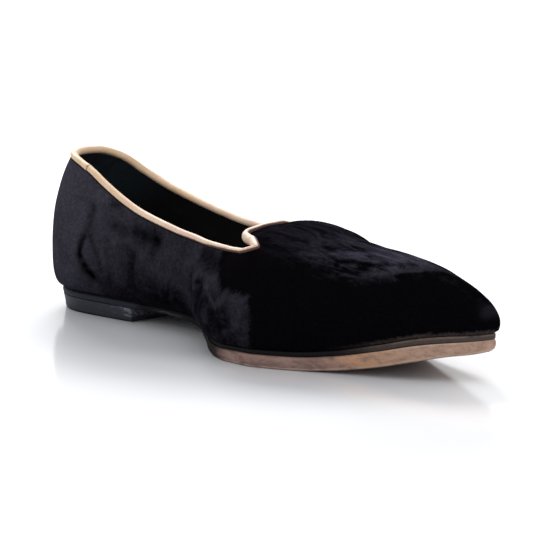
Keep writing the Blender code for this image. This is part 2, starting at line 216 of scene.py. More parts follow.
class Rim:
    # the widest line as one closed loop: back of the heel, inner side, tip of the toe, outer side
    def __init__(self, fine):
        inner, outer = sideStations(collarEnd["inner"], fine), sideStations(collarEnd["outer"], fine)
        self.collar = (shoe["heelColumns"] + shoe["quarterColumns"]) * fine
        self.half = len(inner) - 1
        self.count = 2 * self.half
        self.s = np.concatenate([inner, outer[-2:0:-1]])
        self.x = np.concatenate([widestLine(inner, -1), widestLine(outer, 1)[-2:0:-1]])
        self.side = np.where(np.arange(self.count) <= self.half, -1, 1)
        plan = np.stack([self.x, self.s], axis=-1)
        along = np.roll(plan, -1, axis=0) - np.roll(plan, 1, axis=0)
        along /= np.linalg.norm(along, axis=-1, keepdims=True)
        self.outX, self.outS = -along[:, 1], along[:, 0]
        self.tuck = np.where(self.side < 0, seamShape("tuckInner", self.s), seamShape("tuckOuter", self.s))
        self.project = seamShape("project", self.s)

    def loop(self, distance, height):    # the loop moved outwards in plan, at its stations' own height
        x, s = self.x + self.outX * distance, self.s + self.outS * distance
        return np.stack([x, s, np.broadcast_to(height(s), x.shape)], axis=-1)


def smoothPath(points, perSpan=16):    # centripetal curve from the second point to the last but one
    points = np.array(points, float)
    out = []
    for a, b, c, d in zip(points, points[1:], points[2:], points[3:]):
        t1 = np.linalg.norm(b - a) ** 0.5
        t2 = t1 + np.linalg.norm(c - b) ** 0.5
        t3 = t2 + np.linalg.norm(d - c) ** 0.5
        t = np.linspace(t1, t2, perSpan, endpoint=False)[:, None]
        ab = a * (t1 - t) / t1 + b * t / t1
        bc = b * (t2 - t) / (t2 - t1) + c * (t - t1) / (t2 - t1)
        cd = c * (t3 - t) / (t3 - t2) + d * (t - t2) / (t3 - t2)
        abc = ab * (t2 - t) / t2 + bc * t / t2
        bcd = bc * (t3 - t) / (t3 - t1) + cd * (t - t1) / (t3 - t1)
        out.append(abc * (t2 - t) / (t2 - t1) + bcd * (t - t1) / (t2 - t1))
    out.append(points[-2:-1])
    return np.concatenate(out)


def collarEdge(rim, index):    # where the columns over these points of the rim reach the collar's cut edge
    start = np.stack([rim.x[index], rim.s[index]], axis=-1)
    coreS = np.maximum(start[:, 1], shoe["heelRound"])
    core = np.stack([lastShape("ridge", coreS), coreS], axis=-1)
    low, high = np.zeros(len(index)), np.ones(len(index))
    for _ in range(shoe["bisections"]):
        middle = (low + high) / 2
        x, s = (start + (core - start) * middle[:, None]).T
        wanted = np.where(rim.side[index] < 0, collarShape("inner", s), collarShape("outer", s))
        below = lastHeight(x, s) < wanted
        low, high = np.where(below, middle, low), np.where(below, high, middle)
    return start + (core - start) * low[:, None]


def columnPaths(rim):
    collar, count = rim.collar, rim.count
    index = np.concatenate([np.arange(collar + 1), np.arange(count - collar, count)])
    top = dict(zip(index, collarEdge(rim, index)))
    paths = [None] * count
    for k in index:
        paths[k] = np.array([(rim.x[k], rim.s[k]), top[k]])
    edge = smoothPath([top[collar - 1], top[collar], *throatInner, tabMiddle, *throatOuter[::-1],
                       top[count - collar], top[count - collar + 1]])
    run = np.concatenate([[0.0], np.cumsum(np.linalg.norm(np.diff(edge, axis=0), axis=1))])
    share = run / run[-1]
    apexInner, apexOuter = np.array(throatInner[throatApex]), np.array(throatOuter[throatApex])
    first, last = (share[np.argmin(np.linalg.norm(edge - apex, axis=1))] for apex in (apexInner, apexOuter))
    steps = count - 2 * collar
    for j in range(1, steps):
        w = j / steps
        start = (rim.x[collar + j], rim.s[collar + j])
        target = (np.interp(w, share, edge[:, 0]), np.interp(w, share, edge[:, 1]))
        if first < w < last:
            across = (w - first) / (last - first)
            paths[collar + j] = np.array([start, apexInner + (apexOuter - apexInner) * across, target])
        else:
            paths[collar + j] = np.array([start, target])
    return paths


def domeColumn(path, rows):
    runs = np.linalg.norm(np.diff(path, axis=0), axis=1)
    at = np.concatenate([[0.0], np.cumsum(runs)]) / runs.sum()
    fine = np.linspace(0.0, 1.0, shoe["domeSteps"]) ** 2
    x, s = np.interp(fine, at, path[:, 0]), np.interp(fine, at, path[:, 1])
    z = lastHeight(x, s)
    z[0] = lastShape("girth", s[0])
    dense = np.stack([x, s, z], axis=-1)
    run = np.concatenate([[0.0], np.cumsum(np.linalg.norm(np.diff(dense, axis=0), axis=1))])
    want = run[-1] * np.linspace(0.0, 1.0, rows + 1) ** shoe["domeSpread"]
    return np.stack([np.interp(want, run, dense[:, k]) for k in range(3)], axis=-1)


def tuckRows(rim, depth, rows):    # the turn in under the insole, this deep in the wall
    girth = lastShape("girth", rim.s)
    made = [rim.loop(-rim.tuck - shoe["wall"] - shoe["margin"], lambda s: seamHeight(s) + depth)]
    for k in range(rows):
        angle = np.pi / 2 * (1.0 - k / rows)
        drop = np.sin(angle) ** (2.0 / shoe["tuckPower"])
        outward = np.cos(angle) ** (2.0 / shoe["tuckPower"])
        made.append(rim.loop(-depth - rim.tuck * (1.0 - outward),
                             lambda s: girth - (girth - seamHeight(s) - depth) * drop))
    return np.stack(made)


# Creases and dents of the upper. On a side the path is (s, z), on top (s, x).
creases = (
    # where, path, half width, depth (negative stands out)
    ("inner", ((45, 49), (43.5, 43), (41, 38), (38, 32), (37.6, 29), (39.5, 26), (43.7, 21.4), (49, 18)),
     2.2, 0.60),
    ("inner", ((45, 37.5), (48.5, 30.5), (52.4, 23.6)), 1.9, 0.30),
    ("inner", ((72, 32), (71, 22)), 2.4, 0.40),
    ("inner", ((60, 43.5), (68, 42.5), (77, 41.5), (87, 39.5)), 2.8, 0.25),
    ("inner", ((97, 30), (108, 24), (116, 21)), 3.5, 0.20),
    ("inner", ((128, 18), (132, 23), (136.5, 26.5)), 3.6, 0.30),
    ("inner", ((145, 22), (150, 18), (153.5, 16)), 3.0, 0.22),
    ("inner", ((123.5, 28), (129, 28.2)), 2.4, 0.25),
    ("inner", ((121, 24), (120.5, 19), (121, 14), (127, 10)), 2.2, -0.22),
    ("inner", ((139, 33), (150.6, 30.6), (168, 30)), 2.4, 0.22),
    ("outer", ((44, 41), (40, 31), (47, 19)), 2.6, 0.60),
    ("outer", ((66, 33), (69, 21)), 2.6, 0.35),
    ("outer", ((100, 33), (112, 25), (121, 16)), 3.2, 0.35),
    ("outer", ((139, 36), (147, 29), (156, 18)), 2.6, 0.40),
    ("outer", ((128, 30), (135, 20)), 2.8, 0.25),
    ("top", ((167, -24), (165, -8), (166, 8), (169, 21)), 4.0, 0.14),
    ("top", ((180, -20), (178, -4), (181, 14)), 5.0, 0.10),
)
# Places where the pile is crushed dark or brushed light, and where shade is painted into the creases and
# highlights onto their ridges, on paths of the same kind.
marks = (
    # where, path, half width, strength (negative dark)
    ("inner", ((45.5, 51), (44.2, 44.7), (41.3, 38.1), (38, 32), (37.6, 29), (39.5, 26), (43.7, 21.4),
               (50.3, 17.7)), 2.0, -0.36),
    ("inner", ((40.3, 36), (38, 32), (37.6, 29), (39.3, 26.2), (42.5, 22.5), (46.5, 19.5)), 1.9, -0.34),
    ("inner", ((38, 28), (41, 23.5), (45.5, 19.5)), 3.0, -0.16),
    ("inner", ((45.1, 37.5), (48.5, 30.5), (52.4, 23.6)), 1.6, -0.42),
    ("inner", ((42.5, 34), (42.5, 29), (45.5, 24.5)), 1.5, 0.30),
    ("inner", ((30, 56), (34, 40), (30, 28)), 6.0, 0.22),
    ("inner", ((52, 42), (46, 30), (54, 22)), 2.4, 0.12),
    ("inner", ((57, 53), (60.5, 53)), 1.6, -0.40),
    ("inner", ((59, 43.6), (66, 42.6)), 2.8, -0.42),
    ("inner", ((73, 42.8), (78, 41.4), (86.5, 39.8)), 3.4, -0.54),
    ("inner", ((84, 43.6), (87, 39)), 2.0, -0.20),
    ("inner", ((72.4, 31.5), (71.2, 22.5)), 2.6, -0.46),
    ("inner", ((56, 15), (79, 14.5), (104, 13.5)), 6.5, -0.45),
    ("inner", ((94, 38.5), (106, 36), (113, 38)), 4.5, 0.20),
    ("inner", ((88, 30), (100, 24), (112, 19)), 4.0, 0.16),
    ("inner", ((120, 39), (129, 37.4), (139, 37)), 4.0, -0.55),
    ("inner", ((118, 28), (121, 31), (128, 31.6), (139, 32), (146, 30)), 1.9, 0.26),
    ("inner", ((122, 28), (130, 28.4)), 2.0, -0.62),
    ("inner", ((119, 24.5), (131, 28.6), (139, 28.2), (145, 25), (150, 22)), 1.1, 0.38),
    ("inner", ((124.5, 17), (126, 21.5), (130.5, 24.5)), 3.4, -0.55),
    ("inner", ((133.5, 18.5), (136.5, 22), (140, 24)), 2.8, -0.50),
    ("inner", ((119.5, 20), (120, 15), (126, 11), (136, 9)), 2.2, 0.24),
    ("inner", ((146, 20.5), (149.9, 17.6), (153, 15.6)), 2.6, -0.55),
    ("inner", ((138, 17), (143, 15)), 1.8, 0.25),
    ("inner", ((141, 12), (150, 11.5)), 1.3, -0.45),
    ("inner", ((152, 24.5), (157, 27.8), (164, 26.3), (167, 20.6), (164, 15), (158, 13)), 2.0, 0.26),
    ("inner", ((157, 23), (160, 17)), 2.4, -0.35),
    ("inner", ((154, 28), (155.5, 30)), 1.1, 0.25),
    ("inner", ((166.5, 27), (167.5, 29)), 1.0, 0.25),
    ("outer", ((44, 41), (40, 31), (47, 19)), 2.4, -0.75),
    ("outer", ((66, 33), (69, 21)), 2.4, -0.50),
    ("outer", ((82, 38), (96, 30), (104, 20)), 4.5, 0.25),
    ("outer", ((100, 33), (112, 25), (121, 16)), 2.6, -0.45),
    ("outer", ((128, 30), (135, 20), (130, 12)), 2.4, -0.55),
    ("outer", ((122, 27), (140, 31), (150, 22)), 2.2, 0.35),
    ("outer", ((147, 27), (156, 18)), 3.4, 0.30),
    ("top", ((178, -24), (184, -22), (195, -16), (203.8, -11)), 1.3, 0.30),
    ("top", ((178, -18), (177.6, -15), (180.6, -16)), 1.3, 0.22),
    ("top", ((184, -7.7), (190, -5.5), (199, -4)), 2.4, 0.20),
    ("top", ((206, -9), (214, -8), (222, -12), (230, -10), (236, -6)), 3.6, 0.26),
    ("top", ((213, -22.5), (220, -19), (228, -14), (233, -10)), 1.7, 0.40),
    ("top", ((205, -17.5), (212, -14.5)), 1.2, 0.30),
    ("top", ((222, -3), (231, -2), (242, 1)), 2.8, 0.30),
    ("top", ((196.5, -22), (204, -18.5), (209, -16.5)), 2.2, -0.70),
    ("top", ((211, -18.4), (217.5, -14.5), (223, -11)), 1.8, -0.65),
    ("top", ((228, -16.5), (236, -9.5)), 1.5, -0.45),
    ("top", ((237, -8), (240, -4), (244, -1)), 2.2, -0.45),
    ("top", ((166, 4), (172, 14), (183, 20)), 4.0, 0.20),
    ("top", ((190, 8), (203, 12), (216, 9)), 3.2, 0.28),
    ("top", ((226, 10), (240, 7)), 2.6, 0.26),
    ("top", ((265, -4), (266, 3), (264, 10)), 2.4, 0.40),
)
# Height up to which the sides of the vamp stay deep black; above it the top of the vamp is painted lighter,
# a painted highlight standing in for light from above.
paintedLightLine = Sections(("height",), (
    (128, 46.0),
    (158, 44.0),
    (172, 41.5),
    (184, 39.6),
    (196, 38.2),
    (210, 37.4),
    (224, 38.9),
    (233, 41.3),
    (240, 42.0),
    (248, 38.8),
    (258, 34.6),
    (266, 30.0),
))
swells = (
    # length of the wave along s and up z, phase, height
    (31.0, 23.0, 0.6, 0.22),
    (17.0, 15.0, 2.1, 0.14),
    (11.0, 19.0, 4.0, 0.09),
)
# Where the swells die away, each over a length of its own.
calm = {
    "collarUntil": 150.0,    # station up to which the collar's edge stays smooth
    "collar": 8.0,           # height below that edge
    "heel": 26.0,            # length of the smooth back
    "vampFrom": 125.0,       # station and height where the top of the vamp starts
    "vamp": 15.0,
    "topFrom": 28.0,
    "top": 8.0,
    "topShare": 0.7,         # share of a swell that goes there
}
fold = {
    "shoulder": 0.32,        # the velvet stands up beside a trough by this share of its depth
    "shoulderAt": 2.1,       # so many half widths from its middle
    "topFrom": 26.0,         # height from which a path on top counts
    "top": 6.0,
    "seam": 6.0,             # height above the seam over which all of it dies away
}
# The toe's velvet rolls out over the seam.
toeRoll = {
    "from": 246.0,
    "height": 24.5,
    "reach": 4.8,
    "foot": 0.8,             # it starts this far above the seam
    "out": 1.5,
}


def distanceTo(path, a, b):    # nearest distance from points (a, b) to a bent line
    best = np.full(a.shape, np.inf)
    for (a0, b0), (a1, b1) in zip(path, path[1:]):
        da, db = a1 - a0, b1 - b0
        t = unit(((a - a0) * da + (b - b0) * db) / (da * da + db * db))
        best = np.minimum(best, np.hypot(a - a0 - t * da, b - b0 - t * db))
    return best


def reachOf(where, path, points, side):    # distance to a path, and 1 where the path's own region is
    x, s, z = points[..., 0], points[..., 1], points[..., 2]
    if where == "top":
        return distanceTo(path, s, x), unit((z - fold["topFrom"]) / fold["top"])
    own = -1 if where == "inner" else 1
    return distanceTo(path, s, z), np.where(side == own, 1.0, 0.0) * np.ones(x.shape)


def relief(points, side):    # how far the surface stands out of the last, in millimetres
    x, s, z = points[..., 0], points[..., 1], points[..., 2]
    out = np.zeros(x.shape)
    for where, path, width, depth in creases:
        reach, here = reachOf(where, path, points, side)
        trough = np.exp(-(reach / width) ** 2)
        shoulder = np.exp(-((reach - fold["shoulderAt"] * width) / width) ** 2)
        out += here * depth * (fold["shoulder"] * shoulder - trough)
    # the swells die away towards the collar's edge, at the back and over the top of the vamp
    edge = np.where(side < 0, collarShape("inner", s), collarShape("outer", s))
    free = np.where(s < calm["collarUntil"], unit((edge - z) / calm["collar"]), 1.0)
    free = free * unit(s / calm["heel"]) ** 2
    onTop = unit((z - calm["topFrom"]) / calm["top"])
    onVamp = unit((s - calm["vampFrom"]) / calm["vamp"])
    free = free * (1.0 - calm["topShare"] * onTop * onVamp)
    for lengthS, lengthZ, phase, height in swells:
        wave = np.sin(2 * np.pi * s / lengthS + phase + side) * np.cos(2 * np.pi * z / lengthZ + phase)
        out += height * free * wave
    out *= unit((z - seamHeight(s)) / fold["seam"])
    roll = np.exp(-((z - toeRoll["height"]) / toeRoll["reach"]) ** 2)
    roll = roll * unit((z - seamHeight(s)) / toeRoll["foot"])
    nearTip = unit((s - toeRoll["from"]) / (shoe["length"] - toeRoll["from"]))
    return out + toeRoll["out"] * roll * nearTip


def pileAndPaintedLightMarks(points, side):    # -1 where the pile is pressed flat or shade is painted into a crease, 1 where it stands brushed up or a highlight is painted on
    out = np.zeros(points.shape[:-1])
    for where, path, width, strength in marks:
        reach, here = reachOf(where, path, points, side)
        out += here * strength * np.exp(-(reach / width) ** 2)
    return np.clip(out, -1.0, 1.0)


def toWorld(points):
    points = np.asarray(points, float)
    return np.stack([points[..., 0] - centreX, centreS - points[..., 1], points[..., 2]], axis=-1) * mm


coarseRim = Rim(1)
centreX = (coarseRim.x.min() + coarseRim.x.max()) / 2
centreS = (coarseRim.s.min() + coarseRim.s.max()) / 2


def bandFaces(first, second, count):
    made = []
    for k in range(count):
        n = (k + 1) % count
        made.append((first + k, first + n, second + n, second + k))
    return made


def capFaces(first, count, flip=False):    # strips across a loop that starts at a tip
    made = [(first, first + 1, first + count - 1)]
    for k in range(1, count // 2):
        strip = [first + k, first + k + 1, first + count - k - 1, first + count - k]
        if k + 1 == count - k - 1:
            strip.pop(2)
        made.append(tuple(strip))
    return [f[::-1] for f in made] if flip else made


# One piece of the shoe; values holds numbers for each point that its finish reads by name.
def addPiece(name, points, faces, finish, node, sharp=50.0, values=None):
    mesh = bpy.data.meshes.new(name)
    mesh.from_pydata([tuple(p) for p in toWorld(points)], [], faces)
    mesh.materials.append(finish)
    mesh.shade_smooth()
    mesh.set_sharp_from_angle(angle=np.radians(sharp))
    for key, value in (values or {}).items():
        layer = mesh.attributes.new(key, "FLOAT", "POINT")
        layer.data.foreach_set("value", np.asarray(value, np.float32).ravel())
    piece = bpy.data.objects.new(name, mesh)
    bpy.context.scene.collection.objects.link(piece)
    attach(piece, "root")
    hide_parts(node)
    print("made", name, len(points), "points")
    return piece


def ringFaces(rings, count):    # faces of a tube of loops whose last joins the first
    faces = []
    for k in range(rings):
        faces += bandFaces(k * count, (k + 1) % rings * count, count)
    return faces


def stackFaces(loops, count, closed=True):    # a stack of loops with a cap at each end, or below alone
    faces = capFaces(0, count, flip=True)
    for k in range(loops - 1):
        faces += bandFaces(k * count, (k + 1) * count, count)
    return faces + capFaces((loops - 1) * count, count) if closed else faces


class Value:
    # a shader socket: + - * / ** on values add Math nodes
    def __init__(self, finish, socket):
        self.finish, self.socket = finish, socket

    def math(self, operation, *others):
        return self.finish.node("ShaderNodeMath", {"operation": operation}, dict(enumerate(others)))

    def __add__(self, other):
        return self.math("ADD", self, other)

    def __radd__(self, other):
        return self.math("ADD", other, self)

    def __sub__(self, other):
        return self.math("SUBTRACT", self, other)

    def __rsub__(self, other):
        return self.math("SUBTRACT", other, self)

    def __mul__(self, other):
        return self.math("MULTIPLY", self, other)

    def __rmul__(self, other):
        return self.math("MULTIPLY", other, self)

    def __truediv__(self, other):
        return self.math("DIVIDE", self, other)

    def __pow__(self, other):
        return self.math("POWER", self, other)

    def abs(self):
        return self.math("ABSOLUTE", self)


class Finish:
    # one material and the shorthands its recipe is written with; lengths in millimetres
    def __init__(self, name):
        self.material = bpy.data.materials.new(name)
        self.material.use_nodes = True
        self.tree = self.material.node_tree
        self.tree.nodes.clear()
        self.place = self.node("ShaderNodeTexCoord", out="Object")
        self.x, self.y, self.z = (self.node("ShaderNodeSeparateXYZ", {}, {0: self.place}, axis) * 1000
                                  for axis in ("X", "Y", "Z"))
        self.s = centreS - self.y

    def node(self, kind, settings=None, sockets=None, out=0):
        made = self.tree.nodes.new(kind)
        for key, value in (settings or {}).items():
            setattr(made, key, value)
        for key, value in (sockets or {}).items():
            if isinstance(value, Value):
                self.tree.links.new(value.socket, made.inputs[key])
            else:
                made.inputs[key].default_value = value
        return Value(self, made.outputs[out])

    def noise(self, size, detail=2.0, rough=0.5, bend=0.0, stretch=(1, 1, 1), shift=(0, 0, 0)):
        place = self.node("ShaderNodeMapping", {}, {0: self.place, "Location": shift, "Scale": stretch})
        return self.node("ShaderNodeTexNoise", {}, {
            "Vector": place, "Scale": 1000.0 / size, "Detail": detail, "Roughness": rough,
            "Distortion": bend})

    def span(self, value, low, high, soft=True):    # 0 below low, 1 above high
        kind = "SMOOTHSTEP" if soft else "LINEAR"
        return self.node("ShaderNodeMapRange", {"interpolation_type": kind, "clamp": True},
                         {0: value, 1: low, 2: high})

    def near(self, value, middle, width):    # 1 at the middle value, 0 a width away
        return 1.0 - self.span((value - middle).abs(), 0.0, width)

    def attribute(self, name):
        settings = {"attribute_type": "GEOMETRY", "attribute_name": name}
        return self.node("ShaderNodeAttribute", settings, {}, "Fac")

    def mix(self, factor, first, second, blend="MIX"):
        return self.node("ShaderNodeMix", {"data_type": "RGBA", "blend_type": blend},
                         {0: factor, 6: first, 7: second}, 2)

    def bump(self, height, depth, under=None):    # depth in millimetres
        sockets = {"Height": height, "Distance": depth * mm, "Strength": 1.0}
        if under:
            sockets["Normal"] = under
        return self.node("ShaderNodeBump", {}, sockets)

    def surface(self, colour, roughness, gloss, normal=None, more=None):
        sockets = {"Base Color": colour, "Roughness": roughness, "Specular IOR Level": gloss}
        if normal:
            sockets["Normal"] = normal
        sockets.update(more or {})
        shader = self.node("ShaderNodeBsdfPrincipled", {}, sockets)
        out = self.tree.nodes.new("ShaderNodeOutputMaterial")
        self.tree.links.new(shader.socket, out.inputs["Surface"])
        return self.material


def grey(value, red=1.0, blue=1.0):
    return (value * red, value, value * blue, 1.0)


velvet = {
    "fine": 8,
    "tuckRows": 14,
    "domeRows": 66,
    "innerSkip": 5,          # the hidden inner face keeps every fifth row
    "backSeam": 1.6,         # where the back seam stands across the heel
    "backReach": 25.0,       # stations that can carry it
    "far": 60.0,
    "vampTone": grey(0.00210, 1.22, 1.40),
    # painted highlight on the top of the vamp, where light falls on the pile
    "vampPaintedHighlight": grey(0.0560, 1.04, 1.40),
    "quarterLow": grey(0.0038, 1.05, 1.50),
    "quarterHigh": grey(0.0450, 1.04, 1.34),
    # crushed pile and painted shade in the creases, and the back seam's line
    "pressedPileAndShade": grey(0.0011, 1.05, 1.4),
    # brushed pile and painted highlights
    "brushedPileAndHighlight": grey(0.0400, 1.04, 1.36),
    "seamTone": (0.046, 0.037, 0.035, 1.0),
    "sheen": 0.005,
    "sheenTint": grey(0.62, 1.05, 1.55),
    "sheenRoughness": 0.30,
    # where the pile of the vamp meets the pile of the quarters, as (s, z)
    "sideSeam": ((120, 52), (127, 44), (134, 39), (144, 33.6), (150.6, 29.9), (168.4, 29.2), (171, 25.4),
                 (172.4, 20.6), (172.5, 5)),
}


def velvetFinish():
    f = Finish("blackVelvet")
    seam, back, pileAndPaintedLight = (f.attribute(name) for name in ("seam", "back", "pileAndPaintedLight"))
    deep, above = (f.attribute(name) for name in ("deep", "above"))
    clouds = f.noise(13.0, 3.0, 0.55, 0.8)
    curls = f.noise(5.0, 3.0, 0.6, 2.2, shift=(0.3, 0.1, 0.0))
    strands = f.noise(3.2, 3.0, 0.65, 1.4, (1.0, 0.55, 1.3), (0.0, 0.4, 0.2))
    tufts = f.noise(1.3, 3.0, 0.65, 0.6)
    pile = f.noise(0.38, 2.0, 0.7)
    highlightStreaks = f.noise(3.4, 3.0, 0.6, 0.7, (1.0, 0.18, 1.0), (0.1, 0.0, 0.5))    # long streaks of painted highlight on top of the vamp

    ragged = (curls - 0.5) * 2.4 + (strands - 0.5) * 2.2
    vamp = f.span(seam + ragged * 3.0, -1.0, 1.6)
    # the top of the vamp above the painted light line takes painted light
    top = f.span(deep + ragged * 2.2, -1.0, 8.5)
    height = f.span(f.z, 12.0, 56.0, False)
    rear = f.span(f.s, 90.0, 12.0)
    # the quarters are painted lighter up the side as painted light, and lighter towards the back and in
    # clouds
    tone = 0.15 + 0.46 * height + 0.44 * rear + 0.95 * (clouds - 0.5) + 0.22 * ragged
    quarter = f.mix(f.span(tone, 0.0, 1.0, False), velvet["quarterLow"], velvet["quarterHigh"])
    # painted highlight on top of the vamp: brighter high up and towards the toe's crest, streaked and
    # clouded
    raised = 0.14 + 0.34 * f.span(f.z, 42.0, 47.5) + 0.40 * (clouds - 0.5)
    raised = raised + 3.2 * (highlightStreaks - 0.5) + 0.16 * ragged
    raised = raised * (0.16 + 0.84 * f.span(f.s, 165.0, 212.0)) * (1.0 - 0.30 * f.span(f.s, 230.0, 250.0))
    front = f.mix(top * f.span(raised, 0.0, 1.0, False), velvet["vampTone"], velvet["vampPaintedHighlight"])
    colour = f.mix(vamp, quarter, front)
    # dark strokes are crushed pile and painted shade in the creases, light strokes brushed pile and painted
    # highlights
    stroke = pileAndPaintedLight + ragged * pileAndPaintedLight.abs() * 0.25
    colour = f.mix(f.span(stroke, 0.0, 0.85, False), colour, velvet["brushedPileAndHighlight"])
    colour = f.mix(f.span(stroke, 0.0, -0.75, False), colour, velvet["pressedPileAndShade"])
    worn = f.span(above + ragged, 2.2, 0.4) * f.span(f.s, 200.0, 240.0)
    colour = f.mix(worn, colour, velvet["seamTone"])
    colour = f.mix(f.span(tufts, 0.32, 0.68) * 0.45, colour, grey(0.3), "MULTIPLY")
    colour = f.mix(f.span(pile, 0.35, 0.70) * 0.40, colour, grey(0.2), "MULTIPLY")
    stitch = f.near(back, 0.0, 0.8)
    colour = f.mix(stitch * 0.6, colour, velvet["pressedPileAndShade"])

    normal = f.bump(curls * 0.6 + clouds, 0.7)
    normal = f.bump(tufts, 0.20, normal)
    normal = f.bump(pile, 0.16, normal)
    normal = f.bump(1.0 - stitch, 0.3, normal)
    return f.surface(colour, 0.95, 0.0, normal, {
        "Sheen Weight": velvet["sheen"], "Sheen Roughness": velvet["sheenRoughness"],
        "Sheen Tint": velvet["sheenTint"],
    })


def upperGrid(rim):    # the upper's outer grid and the direction in which its wall is measured
    columns = np.stack([domeColumn(path, velvet["domeRows"]) for path in columnPaths(rim)], axis=1)
    normal = lastNormal(columns[..., 0], columns[..., 1], columns[..., 2])
    return columns, normal


def upperLayer(rim, columns, normal, depth):    # the surface that lies this deep in the wall
    side = rim.side[None, :]
    raised = columns + normal * (relief(columns, side) - depth)[..., None]
    low = tuckRows(rim, depth, velvet["tuckRows"])
    out = np.stack([rim.outX, rim.outS, np.zeros(rim.count)], axis=-1)
    low = low + out[None] * relief(low, side)[..., None]
    return np.concatenate([low, raised])


def makeVelvet(rim, columns, normal):
    outer = upperLayer(rim, columns, normal, 0.0)
    inner = upperLayer(rim, columns, normal, shoe["velvet"])[::velvet["innerSkip"]]
    loops = np.concatenate([outer, inner[::-1]])
    x, s, z = loops[..., 0], loops[..., 1], loops[..., 2]
    side = np.broadcast_to(rim.side, s.shape)
    path = np.array(velvet["sideSeam"], float)
    ahead = s - np.interp(z, path[::-1, 1], path[::-1, 0])
    values = {
        # how far in front of the quarters
        "seam": np.sign(ahead) * np.minimum(abs(ahead), distanceTo(path, s, z)),
        "above": z - seamHeight(s),
        # how far to the side of the back seam
        "back": np.where(s < velvet["backReach"], x - velvet["backSeam"], velvet["far"]),
        "deep": z - paintedLightLine("height", s),
        "pileAndPaintedLight": pileAndPaintedLightMarks(loops, side),
    }
    addPiece("velvetUpper", loops.reshape(-1, 3), ringFaces(len(loops), rim.count), velvetFinish(),
             "upper", 60.0, values)


lining = {
    "tone": (0.0042, 0.0034, 0.0040, 1.0),
    "heelTone": (0.013, 0.020, 0.027, 1.0),
    "clearance": 0.1,
    "skip": 4,               # it keeps every fourth column
}


def liningFinish():
    f = Finish("darkLining")
    weave = f.noise(0.6, 3.0, 0.7)
    patch = f.noise(16.0, 3.0, 0.6, 0.8)
    heel = f.span(f.s, 50.0, 8.0) * f.span(f.z, 34.0, 60.0) * f.span(patch, 0.2, 0.6)
    colour = f.mix(heel, lining["tone"], lining["heelTone"])
    colour = f.mix(f.span(weave, 0.4, 0.7) * 0.3, colour, grey(0.0), "MULTIPLY")
    normal = f.bump(weave, 0.12, f.bump(patch, 0.8))
    return f.surface(colour, 0.85, 0.12, normal)


def makeLining(rim, columns, normal):
    outer = upperLayer(rim, columns, normal, shoe["velvet"] + lining["clearance"])
    inner = upperLayer(rim, columns, normal, shoe["wall"])
    loops = np.concatenate([outer, inner[::-1]])[:, ::lining["skip"]]
    addPiece("lining", loops.reshape(-1, 3), ringFaces(len(loops), loops.shape[1]), liningFinish(),
             "upper", 60.0)


binding = {
    "halfWidth": 2.0,        # across the wall
    "halfHeight": 1.55,
    "sides": 24,
    "join": 36.0,            # station on the inner side where the strip laps over its own start
    "lap": 0.45,             # how much the lap stands out
    "lapLength": 5.0,
    "lapHigh": 0.6,          # share of the lap that it gains in height
    "tabFuller": 0.28,       # the strip bunches up round the sides of the tab
    "tabReach": 5.5,
    "underneath": 0.72,      # below 1 the roll is flatter where it lies on the edge
    "waves": ((0.035, 3.1, 0.0), (0.03, 1.7, 1.0)),    # height, length, phase of its unevenness
    "cream": (0.62, 0.475, 0.36, 1.0),
    "pink": (0.58, 0.405, 0.315, 1.0),
    "tan": (0.56, 0.385, 0.23, 1.0),
    "worn": (0.72, 0.59, 0.48, 1.0),
    # dark of the lap's cut edge, and of the painted shade under the roll
    "edge": (0.075, 0.032, 0.022, 1.0),
    "fleck": (0.17, 0.10, 0.07, 1.0),
}


def bindingFinish():
    f = Finish("tanBinding")
    turn = f.attribute("turn")       # degrees round the roll from its crown
    patch = f.noise(6.0, 3.0, 0.6, 0.5)
    blush = f.noise(9.0, 2.0, 0.5, 0.4, shift=(0.2, 0.5, 0.0))
    pores = f.noise(0.5, 3.0, 0.7)
    marks = f.noise(1.3, 2.0, 0.6)
    rear = f.span(f.s + (patch - 0.5) * 30.0, 95.0, 50.0)
    colour = f.mix(f.span(blush, 0.35, 0.65), binding["cream"], binding["pink"])
    colour = f.mix(rear * f.span(patch, 0.25, 0.6), colour, binding["tan"])
    colour = f.mix(f.span(pores, 0.50, 0.75) * 0.5, colour, binding["worn"])
    colour = f.mix(f.span(marks, 0.68, 0.76) * 0.6, colour, binding["fleck"])
    join = f.near(f.s, binding["join"] + 0.4, 0.7) * f.span(f.x, 0.0, -6.0)
    colour = f.mix(join * 0.7, colour, binding["edge"])
    # painted shade along the underside of the roll where it lies on the velvet
    low = f.span(turn + (marks - 0.5) * 22.0, 118.0, 138.0)
    colour = f.mix(low, colour, binding["edge"])
    wrinkle = f.noise(1.1, 3.0, 0.6, 0.4)
    normal = f.bump(pores, 0.06, f.bump(wrinkle, 0.20))
    return f.surface(colour, f.span(patch, 0.0, 1.0) * 0.12 + 0.50, 0.3, normal)


